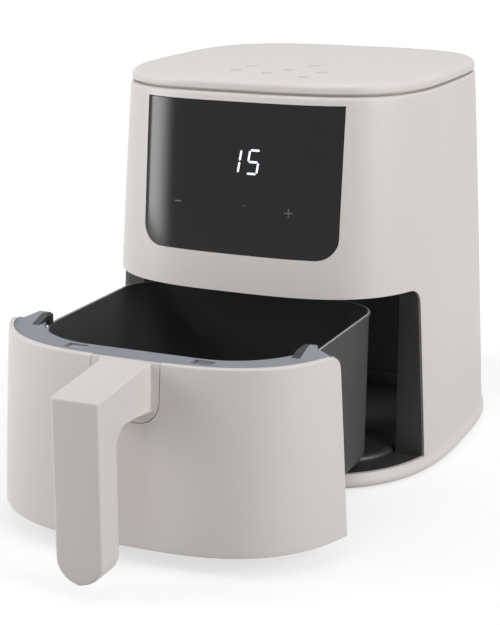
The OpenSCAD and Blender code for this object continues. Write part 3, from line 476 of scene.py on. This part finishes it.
GLASS = {"half": 78.0, "low": 173.7, "top": 283.7, "corner": 15.5}
GLASS_THICK = 2.2
DIGIT = {"low": 233.2, "height": 17.0, "half": 0.8, "lean": 0.14}
SIGN_HALF = 0.4
STROKE = {"raise_mm": 0.03, "thick": 0.3}


def front_depth(x, z, inset=0.0):
    """How far in front of the centre the housing's surface lies at half width x and height z:
    b (1 - (x / a)^n)^(1 / n)."""
    half_x, half_y, n = plan(z)
    return (half_y - inset) * (1 - (np.abs(x) / (half_x - inset)) ** n) ** (1 / n)


def slab(front, back):
    """Closed solid between two equal grids of points: both sheets and the strip that joins their
    borders."""
    rows, cols = front.shape[:2]
    sheet = np.ones((rows - 1, cols - 1), bool)
    border = np.concatenate([np.arange(cols), np.arange(2, rows + 1) * cols - 1,
                             rows * cols - 2 - np.arange(cols - 1),
                             np.arange(rows - 2, 0, -1) * cols])
    ahead = np.roll(border, -1)
    strip = np.stack([border, ahead, ahead + rows * cols, border + rows * cols], -1)
    return (np.concatenate([front.reshape(-1, 3), back.reshape(-1, 3)]),
            [grid_faces(sheet), grid_faces(sheet, rows * cols), strip])


def arch_grid(half, low, top, corner, inset, rows=48, cols=97):
    """Grid of points on the housing's surface, set in by inset, inside an arch outline. Its half
    width follows the quarter circles of the lower corners: x = half - corner + sqrt(corner^2 -
    d^2) at d below the corner's centre."""
    t = np.linspace(0, math.pi / 2, 14)
    z = np.concatenate([low + corner * (1 - np.cos(t)), np.linspace(low + corner, top, rows)[1:]])
    below = np.clip(low + corner - z, 0, corner)
    side = half - corner + np.sqrt(corner ** 2 - below ** 2)
    x = side[:, None] * np.linspace(-1, 1, cols)
    z = np.broadcast_to(z[:, None], x.shape)
    return np.stack([x, -front_depth(x, z, inset), z], -1)


def on_glass(x, z, height):
    """Points over the display's surface."""
    return np.stack([x, -front_depth(x, z, -height), z], -1)


def digit(lit, x, low, width, height, half, lean):
    """Strokes of one seven-segment digit. lit names the segments a to g, and every point moves
    sideways by lean times its height over the digit's foot."""
    mid, top, gap = low + height / 2, low + height, 1.1 * half
    ends = {"a": ((x, top), (x + width, top)), "b": ((x + width, top), (x + width, mid)),
            "c": ((x + width, mid), (x + width, low)), "d": ((x, low), (x + width, low)),
            "e": ((x, mid), (x, low)), "f": ((x, top), (x, mid)), "g": ((x, mid), (x + width, mid))}
    bars = []
    for start, end in [np.array(ends[name], float) for name in lit]:
        step = gap * (end - start) / np.linalg.norm(end - start)
        bar = thin_bar(start + 0.35 * step, end - 0.35 * step, half)
        bars.append(bar + np.stack([lean * (bar[:, 1] - low), 0 * bar[:, 1]], -1))
    return bars


glass = finish("black_glass", (0.006, 0.006, 0.007), 0.1, grain=60, lift=0.0, shade=0.3,
               spread=0.02, IOR=1.36)
pane_sheets = [arch_grid(**GLASS, inset=depth) for depth in (0, GLASS_THICK)]
pane = new_piece("display_pane", *slab(*pane_sheets), "housing")
soften(pane, 0.8, 3)
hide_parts("display_glass")
dress(glass, pane)

led_white = finish("led_white", (0.6, 0.64, 0.7), 0.5, Emission_Color=(0.8, 0.87, 1, 1),
                   Emission_Strength=0.75)
lit = digit("bc", -5.2, width=6.0, **DIGIT) + digit("acdfg", 7.6, width=8.0, **DIGIT)
digits = new_piece("display_digits", *chips(lit, on_glass, **STROKE), "housing")
dress(led_white, digits)
dim_sign = finish("touch_sign", (0.09, 0.096, 0.1), 0.5, Emission_Color=(0.8, 0.85, 0.9, 1),
                  Emission_Strength=0.015)
minus = [((-50.6, 208.8), (-44.6, 208.8))]
plus = [((38.2, 206.8), (45.2, 206.8)), ((41.7, 203.3), (41.7, 210.3))]
dot = [((6.2, 209.7), (7.8, 209.7))]
bars = [thin_bar(start, end, SIGN_HALF) for start, end in minus + plus + dot]
signs = new_piece("touch_signs", *chips(bars, on_glass, **STROKE), "housing")
dress(dim_sign, signs)
black = finish("black_plastic", (0.026, 0.026, 0.0265), 0.42, grain=1500, lift=0.01, shade=0.1)
dress(black, "display_frame", "led_module")

# ---------------------------------------------------------------------------------------------
# Cooking cavity: a black floor moulding with a raised, rounded sill, a wall liner with a front
# flange, and a deck above with the round mouth of the heat chamber. Its coat is painted paler
# deeper inside: painted light over the cavity's deep shade.

PAINTED_LIGHT_DEEP = {"from_y": -77, "to_y": -40, "colour": (0.2, 0.2, 0.203)}


def map_range(tree, value, **ends):
    """Output of a Map Range node, whose ends are given as From_Min, From_Max, To_Min and To_Max:
    To Min plus the share that value has come from From Min to From Max, times To Max - To Min."""
    ranged = tree.nodes.new("ShaderNodeMapRange")
    for socket, end in ends.items():
        ranged.inputs[socket.replace("_", " ")].default_value = end
    tree.links.new(value, ranged.inputs["Value"])
    return ranged.outputs["Result"]


def fade_colour(material, axis, start, end, colour):
    """Turns the material's colour into another one between two places along an axis, in metres."""
    tree = material.node_tree
    along = tree.nodes.new("ShaderNodeSeparateXYZ")
    tree.links.new(tree.nodes.new("ShaderNodeTexCoord").outputs["Object"], along.inputs[0])
    amount = map_range(tree, along.outputs[axis], From_Min=start, From_Max=end)
    mixed = tree.nodes.new("ShaderNodeMix")
    mixed.data_type = "RGBA"
    mixed.inputs["B"].default_value = (*colour, 1)
    base = tree.nodes["Principled BSDF"].inputs["Base Color"]
    tree.links.new(amount, mixed.inputs["Factor"])
    tree.links.new(base.links[0].from_socket, mixed.inputs["A"])
    tree.links.new(mixed.outputs["Result"], base)


charcoal = finish("charcoal_coat", (0.035, 0.035, 0.036), 0.42, grain=1500, lift=0.01, shade=0.1)
# Painted light: from 77 to 40 mm in front of the housing's middle the coat turns from charcoal to
# pale grey, so the deep cavity is painted lighter than its shade.
fade_colour(charcoal, "Y", (HOUSE_Y + PAINTED_LIGHT_DEEP["from_y"]) * MM,
            (HOUSE_Y + PAINTED_LIGHT_DEEP["to_y"]) * MM, PAINTED_LIGHT_DEEP["colour"])
dress(charcoal, "cavity_floor", "cavity_liner", "cavity_deck")
dress(black, "drawer_switch", "rear_grille")
dress(cream_inner, "switch_plunger", "thermal_fuse")

# ---------------------------------------------------------------------------------------------
# Heater and fan: a pressed aluminium dome over a sheathed element and its wire guard, and a motor
# on a sheet bracket that turns the hot-air fan below and the cooling fan above the dome.

aluminium = finish("pressed_aluminium", (0.62, 0.62, 0.63), 0.32, grain=700, lift=0.01,
                   stretch=(1, 1, 0.2), Metallic=1.0)
dress(aluminium, "reflector", "convection_fan")
dress(finish("oxidised_sheath", (0.16, 0.145, 0.13), 0.5, grain=1800, shade=0.5, Metallic=0.8),
      "heating_element")
dress(steel, "element_guard", "temperature_probe", "fan_motor", "motor_bracket", "motor_screws",
      "motor_shaft", "fan_nut")
grey_plastic = finish("grey_plastic", (0.10, 0.11, 0.12), 0.5, grain=1400, lift=0.01)
dress(grey_plastic, "cooling_fan")
dress(rubber, "cord_gland")

# ---------------------------------------------------------------------------------------------
# Drawer front: a curved wall in the housing's own form, 3 mm thick, whose wings wrap round both
# corners. It is cut out for the handle's plate, and sits on the drawer's frame.

PULL = 167.0
FRONT = {"low": 14.2, "top": 141.0, "edge_y": 81.4, "corner": 9.6, "wall": 3.0, "low_r": 0.8,
         "top_r": 1.3}
PLATE = {"half": 25.0, "low": 100.0, "top": 140.6, "corner": 15.0}
PLATE_GAP = 0.5
PAST_TOP = 9.0


def wing_depth(z):
    """How far in front of the centre the wing's back edge runs at height z: straight up, then
    forward round the upper corner's quarter circle."""
    above = np.clip(z - (FRONT["top"] - FRONT["corner"]), 0, FRONT["corner"])
    return FRONT["edge_y"] + FRONT["corner"] - np.sqrt(FRONT["corner"] ** 2 - above ** 2)


turn = np.linspace(0, math.pi / 2, 7)
corner_z = FRONT["top"] - FRONT["corner"]
heights = np.concatenate([
    FRONT["low"] + FRONT["low_r"] * (1 - np.cos(turn)),
    np.linspace(FRONT["low"] + FRONT["low_r"], corner_z, 30)[1:],
    corner_z + (FRONT["corner"] - FRONT["top_r"]) * np.linspace(0, 1, 9)[1:],
    FRONT["top"] - FRONT["top_r"] + FRONT["top_r"] * np.sin(turn[1:])])
bend = np.concatenate([FRONT["low_r"] * (1 - np.sin(turn)),
                       np.zeros(len(heights) - 2 * len(turn) + 1),
                       FRONT["top_r"] * (1 - np.cos(turn[1:]))])


def wing_angles(inset):
    """Angles round the front from one wing's back edge to the other's, on the plan set in by
    inset, so that the edge of each wall lies in one plane."""
    theta = front_angle(wing_depth(heights), heights, inset)
    return -theta[:, None] - np.linspace(0, 1, 161) * (math.pi - 2 * theta)[:, None]


outer = plan_point(wing_angles(0), heights[:, None], bend[:, None])
inner = plan_point(wing_angles(FRONT["wall"]), heights[:, None], FRONT["wall"])
outer[..., 1] -= PULL
inner[..., 1] -= PULL
front_wall = new_piece("drawer_front_skin", *slab(outer, inner), "drawer")
plate_hole = arch(PLATE["half"] + PLATE_GAP, PLATE["low"] - PLATE_GAP, FRONT["top"] + PAST_TOP,
                  PLATE["corner"] + PLATE_GAP)
cut(front_wall, *prism(plate_hole, *(y - PULL for y in THROUGH_FRONT)))
soften(front_wall, 0.35)
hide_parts("drawer_front")
dress(cream, front_wall)

# ---------------------------------------------------------------------------------------------
# Handle: a flush plate, a short neck with a flared root and a hanging grip with a round end,
# moulded in one in the cream plastic and screwed on from behind the plate.

GRIP = {"half": 17.0, "thick": 24.0, "out": 67.0, "top": 140.4, "length": 130.0, "neck": 31.0,
        "edge": 2.6, "turn": 14.0, "fall": 6.5, "root_r": 5.0, "root_in": 1.0, "top_r": 2}
plate_sheets = [arch_grid(**PLATE, inset=depth, rows=20, cols=41) - [0, PULL, 0]
                for depth in (0.0, FRONT["wall"])]
plate = new_piece("handle_plate", *slab(*plate_sheets), "drawer")
soften(plate, 0.3)
face_y = -front_depth(0, FRONT["top"]) - GRIP["out"]
low_z, neck_z = GRIP["top"] - GRIP["length"], GRIP["top"] - GRIP["neck"]


def grip_rings(rings, per_corner=9):
    """Rings of the handle, lowest first. Each is a rectangle with four round corners: two at the
    grip's face, two at its back. At the lower end the half width is that of a circle, and below
    the neck the back bends out in a quarter circle. Above the neck's underside the back lies on
    the drawer front and its corners flare outward. rings holds (height, inset) pairs."""
    z, inset = np.asarray(rings, float).T
    half, edge, turn_r = GRIP["half"], GRIP["edge"], GRIP["turn"]
    below = np.clip(low_z + half - z, 0, half)
    width = np.sqrt(half ** 2 - below ** 2) - inset
    back_flat = face_y + GRIP["thick"]
    rise = np.clip(z - neck_z + turn_r, 0, turn_r)
    curved = back_flat + turn_r - np.sqrt(turn_r ** 2 - rise ** 2)
    on_front = z > neck_z - 1e-6
    front_y = -front_depth(0 * z, np.minimum(z, FRONT["top"] - 0.5), GRIP["root_in"])
    back_y = np.where(on_front, front_y, curved)
    e = np.minimum(edge, 0.9 * width)
    t = np.linspace(0, math.pi / 2, per_corner)
    side = np.where(on_front, -1.0, 1.0)
    back_e = np.where(on_front, GRIP["root_r"], e)
    xs, ys = [], []
    for sign, order in ((-1, 1), (1, -1)):
        a = t[::order]
        xs.append(sign * ((width - e)[:, None] + e[:, None] * np.cos(a)))
        ys.append((face_y + inset + e)[:, None] - e[:, None] * np.sin(a))
    for sign, order in ((1, 1), (-1, -1)):
        a = t[::order]
        xs.append(sign * ((width - side * back_e)[:, None] + (side * back_e)[:, None] * np.cos(a)))
        ys.append((back_y - back_e)[:, None] + back_e[:, None] * np.sin(a))
    x, y = np.concatenate(xs, 1), np.concatenate(ys, 1)
    return np.stack([x, y, np.broadcast_to(z[:, None], x.shape)], -1)


t = np.linspace(0.02, math.pi / 2, 22)
rings = [(low_z + GRIP["half"] * (1 - math.cos(a)), 0) for a in t]
rings += [(z, 0) for z in np.linspace(low_z + GRIP["half"], neck_z - GRIP["turn"], 20)[1:]]
rings += [(neck_z - GRIP["turn"] + GRIP["turn"] * math.sin(a), 0)
          for a in np.linspace(0, math.pi / 2, 14)[1:-1]]
rings += [(z, 0) for z in np.linspace(neck_z, GRIP["top"] - GRIP["top_r"], 12)]
rings += [(GRIP["top"] - GRIP["top_r"] + GRIP["top_r"] * math.sin(a),
           GRIP["top_r"] * (1 - math.cos(a))) for a in np.linspace(0, math.pi / 2, 7)[1:]]
points = grip_rings(rings)

# The neck falls away from the front, most at the grip's face.
reach = (-front_depth(0, FRONT["top"]) - points[..., 1]) / GRIP["out"]
points[..., 2] -= GRIP["fall"] * reach * np.clip((points[..., 2] - neck_z) / GRIP["neck"], 0, 1)
points[..., 1] -= PULL
grip = new_piece("handle_grip", *closed_stack(points), "drawer")
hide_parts("handle")
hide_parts("handle")
for piece in (plate, grip):
    dress(cream, piece)
dress(steel, "handle_screws")

# ---------------------------------------------------------------------------------------------
# Drawer frame: a dark grey moulding between the front and the pan, with a skirt, ribs, windows
# for the pan's hooks and a ramp at each end that guides the drawer home. Its colour is painted
# lighter than that dark plastic: painted sheen for its top. Black wedges are clipped to the inner
# side of the ramps; their black is painted shade on the ramps' inner faces.

# Painted sheen: this grey is lighter than the frame's own dark plastic and stands in for the sheen
# on its top.
frame_painted_sheen = finish("frame_painted_sheen_plastic", (0.265, 0.28, 0.307), 0.6, grain=1300, lift=0.01,
                    shade=0.35, Specular_IOR_Level=0.2)
dress(frame_painted_sheen, "drawer_frame")
# Painted shade: the wedges are black to stand in for the shade on the ramps' inner sides.
dress(black, "guide_wedges")

# ---------------------------------------------------------------------------------------------
# Pan: deep-drawn steel 1.6 mm thick with a dark non-stick coating inside and out, a turned rim
# and a rounded bottom edge. Two steel hooks welded to it reach up through the frame's windows.

PAN = {"half_x": 101.0, "length": 188.0, "back_r": 30.0, "front_r": 60.0, "least_r": 4,
       "wall": 1.6, "draft": 1.5, "turn": 12.0, "lip": 1.1, "low": 16.4, "rim": 135.0,
       "behind": 23.0, "flat": 40.0, "roll_h": 1.6, "roll_w": 0.9, "roll_in": 0.02, "inside": 0.6}
PAINTED_RIM_HIGHLIGHT = {"from_rim": 0.45, "to_rim": 0.1, "colour": (0.4, 0.4, 0.41)}
pan_y = (-PULL - (front_depth(0, FRONT["top"], FRONT["wall"]) - PAN["behind"])
         + PAN["length"] / 2)


def pan_ring(z, inset):
    """Rings of a rectangle with round corners, one for each (z, inset): the corner's radius gets
    smaller by the inset, and each corner is a quarter circle."""
    t = np.linspace(0, math.pi / 2, 15)
    z, inset = np.asarray(z, float)[:, None], np.asarray(inset, float)[:, None]
    half_x, half_y = PAN["half_x"] - inset, PAN["length"] / 2 - inset
    parts = []
    for quarter, (sx, sy) in enumerate([(1, 1), (-1, 1), (-1, -1), (1, -1)]):
        r = np.maximum(PAN["back_r" if quarter < 2 else "front_r"] - inset, PAN["least_r"])
        a = t + quarter * math.pi / 2
        parts.append(np.stack([sx * (half_x - r) + r * np.cos(a),
                               pan_y + sy * (half_y - r) + r * np.sin(a),
                               np.broadcast_to(z, (len(z), len(t)))], -1))
    return np.concatenate(parts, 1)


def pan_inset(z, own):
    """Inset of the pan's wall: its own value, the lip, and a draft that grows downward."""
    below = PAN["rim"] - np.minimum(np.asarray(z, float), PAN["rim"])
    return np.asarray(own) + PAN["lip"] + PAN["draft"] * below / (PAN["rim"] - PAN["low"])


t = np.linspace(0, math.pi / 2, 9)
out_z = np.concatenate([[PAN["low"]], PAN["low"] + PAN["turn"] * (1 - np.cos(t)),
                        np.linspace(PAN["low"] + PAN["turn"], PAN["rim"] - 2 * PAN["roll_h"],
                                    14)[1:]])
out_own = np.concatenate([[PAN["flat"]], PAN["turn"] * (1 - np.sin(t)), np.zeros(13)])
roll = np.linspace(-math.pi / 2, math.pi / 2, 11)
rim_z = PAN["rim"] - PAN["roll_h"] + PAN["roll_h"] * np.sin(roll)
rim_in = PAN["roll_in"] + PAN["roll_w"] * (1 - np.cos(roll))
in_turn = PAN["turn"] - PAN["wall"]
in_z = np.concatenate([np.linspace(PAN["rim"] - PAN["inside"], PAN["low"] + PAN["turn"], 14),
                       PAN["low"] + PAN["wall"] + in_turn * (1 - np.cos(t[::-1][1:])),
                       [PAN["low"] + PAN["wall"]]])
in_own = np.concatenate([np.full(14, PAN["wall"]),
                         PAN["wall"] + in_turn * (1 - np.sin(t[::-1][1:])), [PAN["flat"]]])
z = np.concatenate([out_z, rim_z, in_z])
inset = np.concatenate([pan_inset(out_z, out_own), rim_in, pan_inset(in_z, in_own)])
pan = new_piece("pan_skin", *closed_stack(pan_ring(z, inset)), "drawer")
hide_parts("pan")
nonstick = finish("nonstick_coating", (0.055, 0.055, 0.056), 0.5, grain=900, lift=0.012,
                  shade=0.25, Specular_IOR_Level=0.12)
# Painted highlight: the coat turns light grey over the top half millimetre of the rim, standing in
# for the rim's glint.
fade_colour(nonstick, "Z", (PAN["rim"] - PAINTED_RIM_HIGHLIGHT["from_rim"]) * MM,
            (PAN["rim"] - PAINTED_RIM_HIGHLIGHT["to_rim"]) * MM, PAINTED_RIM_HIGHLIGHT["colour"])
dress(nonstick, pan)
dress(finish("spring_steel", (0.30, 0.31, 0.32), 0.45, grain=2600, lift=0.003, Metallic=1.0),
      "pan_hooks")

# ---------------------------------------------------------------------------------------------
# Crisper tray: a coated steel plate with rows of round holes and a finger hole, on four legs,
# with four soft stops on its edge that hold it in the pan.

dress(nonstick, "crisper_tray")
dress(rubber, "tray_bumpers")

# ---------------------------------------------------------------------------------------------
# Setting: a white floor that keeps the object's faint shadow, a white room, and four soft lamps.
# Each lamp has its place, the point that it faces, its size, its power and its spread in degrees.

floor_mesh = bpy.data.meshes.new("floor")
floor_mesh.from_pydata([(-6, -6, 0), (6, -6, 0), (6, 6, 0), (-6, 6, 0)], [], [(0, 1, 2, 3)])
floor = bpy.data.objects.new("floor", floor_mesh)
bpy.context.collection.objects.link(floor)
floor_paint = bpy.data.materials.new("floor_paint")
floor_paint.use_nodes = True
tree = floor_paint.node_tree
principled = tree.nodes["Principled BSDF"]
principled.inputs["Base Color"].default_value = (0.36, 0.36, 0.36, 1)
principled.inputs["Roughness"].default_value = 0.9
principled.inputs["Emission Color"].default_value = (1, 1, 1, 1)


def seen_rays(tree):
    """1 for rays that come from the camera, a mirror or glass, and 0 for light itself."""
    path = tree.nodes.new("ShaderNodeLightPath")
    total = path.outputs["Is Camera Ray"]
    for name in ("Is Glossy Ray", "Is Transmission Ray"):
        larger = tree.nodes.new("ShaderNodeMath")
        larger.operation = "MAXIMUM"
        tree.links.new(total, larger.inputs[0])
        tree.links.new(path.outputs[name], larger.inputs[1])
        total = larger.outputs[0]
    return total


far = tree.nodes.new("ShaderNodeVectorMath")
far.operation = "LENGTH"
tree.links.new(tree.nodes.new("ShaderNodeTexCoord").outputs["Object"], far.inputs[0])
level = map_range(tree, far.outputs["Value"], From_Min=0.33, From_Max=0.6, To_Min=0.66,
                  To_Max=0.9)

# The floor glows for those rays only, and less under the object, where its shadow lies.
glow = tree.nodes.new("ShaderNodeMath")
glow.operation = "MULTIPLY"
tree.links.new(seen_rays(tree), glow.inputs[0])
tree.links.new(level, glow.inputs[1])
tree.links.new(glow.outputs[0], principled.inputs["Emission Strength"])
floor.data.materials.append(floor_paint)

world = bpy.data.worlds.new("room")
bpy.context.scene.world = world
world.use_nodes = True
tree = world.node_tree
background = tree.nodes["Background"]
background.inputs["Color"].default_value = (1, 1, 1, 1)
tree.links.new(map_range(tree, seen_rays(tree), To_Min=0.19, To_Max=1.0),
               background.inputs["Strength"])

for name, place, aim, size, power, spread in [
        ("left_softbox", (-1.71, -1.17, 0.8), (0, 0, 0.45), (1.05, 1.7), 52, 180),
        ("right_softbox", (1.95, -0.55, 0.95), (0, 0, 0.2), (1.2, 1.6), 31, 180),
        ("front_softbox", (0.1, -0.9, 1.7), (0, 0.02, 0.26), (0.6, 0.4), 0.22, 36),
        ("top_softbox", (0.1, 0.3, 2.3), (0, 0, 0.1), (1.8, 1.8), 14.5, 180)]:
    lamp = bpy.data.lights.new(name, "AREA")
    lamp.shape, lamp.size, lamp.size_y, lamp.energy = "RECTANGLE", size[0], size[1], power
    lamp.spread = math.radians(spread)
    holder = bpy.data.objects.new(name, lamp)
    bpy.context.collection.objects.link(holder)
    holder.location = place
    holder.rotation_euler = (Vector(aim) - Vector(place)).to_track_quat("-Z", "Y").to_euler()

# The left lamp fades out towards the front, as a softbox seen at an angle does.
lamp = bpy.data.lights["left_softbox"]
lamp.use_nodes = True
tree = lamp.node_tree
across = tree.nodes.new("ShaderNodeSeparateXYZ")
tree.links.new(tree.nodes.new("ShaderNodeNewGeometry").outputs["Parametric"], across.inputs[0])
fade = map_range(tree, across.outputs["X"], From_Min=0.95, From_Max=0.3)
fade.node.interpolation_type = "SMOOTHSTEP"
tree.links.new(fade, tree.nodes["Emission"].inputs["Strength"])

bpy.context.scene.view_settings.view_transform = "Standard"
